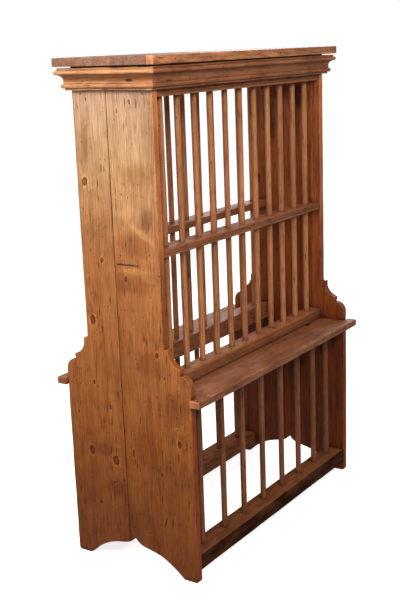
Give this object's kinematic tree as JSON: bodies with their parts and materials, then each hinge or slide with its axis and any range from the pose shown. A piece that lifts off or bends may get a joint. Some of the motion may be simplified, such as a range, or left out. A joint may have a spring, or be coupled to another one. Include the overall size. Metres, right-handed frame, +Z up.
{
  "type": "plate rack",
  "caption": "Free-standing two-sided pine plate rack with upright spindles, waist shelves, shaped solid ends, bracket feet and a moulded cornice.",
  "frame": {"origin": "middle of the floor rectangle under the rack, at the undersides of the feet", "axes": "+Z up, front faces -Y, +X to the right along the rack"},
  "size_m": [1.116, 0.55, 1.6],
  "materials": {
    "side_pine": "waxed, worn",
    "top_pine": "waxed, worn",
    "moulding_pine": "waxed, worn",
    "rail_pine": "waxed, worn",
    "shelf_pine": "waxed, worn",
    "spindle_pine": "waxed, worn",
    "nail_iron": "dull, rusty"
  },
  "bodies": {
    "root": {"left_side_front_board": "side_pine", "left_side_rear_board": "side_pine", "right_side_front_board": "side_pine", "right_side_rear_board": "side_pine", "top_board": "top_pine", "top_front_lipping": "top_pine", "top_rear_lipping": "top_pine", "cornice_front": "moulding_pine", "cornice_rear": "moulding_pine", "cornice_left": "moulding_pine", "cornice_right": "moulding_pine", "top_rail_front": "rail_pine", "top_rail_rear": "rail_pine", "middle_rail_front": "rail_pine", "middle_rail_rear": "rail_pine", "waist_rail_front": "rail_pine", "waist_rail_rear": "rail_pine", "shelf_front": "shelf_pine", "shelf_rear": "shelf_pine", "bottom_rail_front": "shelf_pine", "bottom_rail_rear": "shelf_pine", "long_spindle_front_1": "spindle_pine", "long_spindle_front_2": "spindle_pine", "long_spindle_front_3": "spindle_pine", "long_spindle_front_4": "spindle_pine", "long_spindle_front_5": "spindle_pine", "long_spindle_front_6": "spindle_pine", "long_spindle_front_7": "spindle_pine", "long_spindle_front_8": "spindle_pine", "long_spindle_front_9": "spindle_pine", "long_spindle_front_10": "spindle_pine", "long_spindle_front_11": "spindle_pine", "long_spindle_rear_1": "spindle_pine", "long_spindle_rear_2": "spindle_pine", "long_spindle_rear_3": "spindle_pine", "long_spindle_rear_4": "spindle_pine", "long_spindle_rear_5": "spindle_pine", "long_spindle_rear_6": "spindle_pine", "long_spindle_rear_7": "spindle_pine", "long_spindle_rear_8": "spindle_pine", "long_spindle_rear_9": "spindle_pine", "long_spindle_rear_10": "spindle_pine", "long_spindle_rear_11": "spindle_pine", "short_spindle_front_1": "spindle_pine", "short_spindle_front_2": "spindle_pine", "short_spindle_front_3": "spindle_pine", "short_spindle_front_4": "spindle_pine", "short_spindle_front_5": "spindle_pine", "short_spindle_front_6": "spindle_pine", "short_spindle_front_7": "spindle_pine", "short_spindle_front_8": "spindle_pine", "short_spindle_rear_1": "spindle_pine", "short_spindle_rear_2": "spindle_pine", "short_spindle_rear_3": "spindle_pine", "short_spindle_rear_4": "spindle_pine", "short_spindle_rear_5": "spindle_pine", "short_spindle_rear_6": "spindle_pine", "short_spindle_rear_7": "spindle_pine", "cut_nails": "nail_iron"}
  },
  "joints": []
}
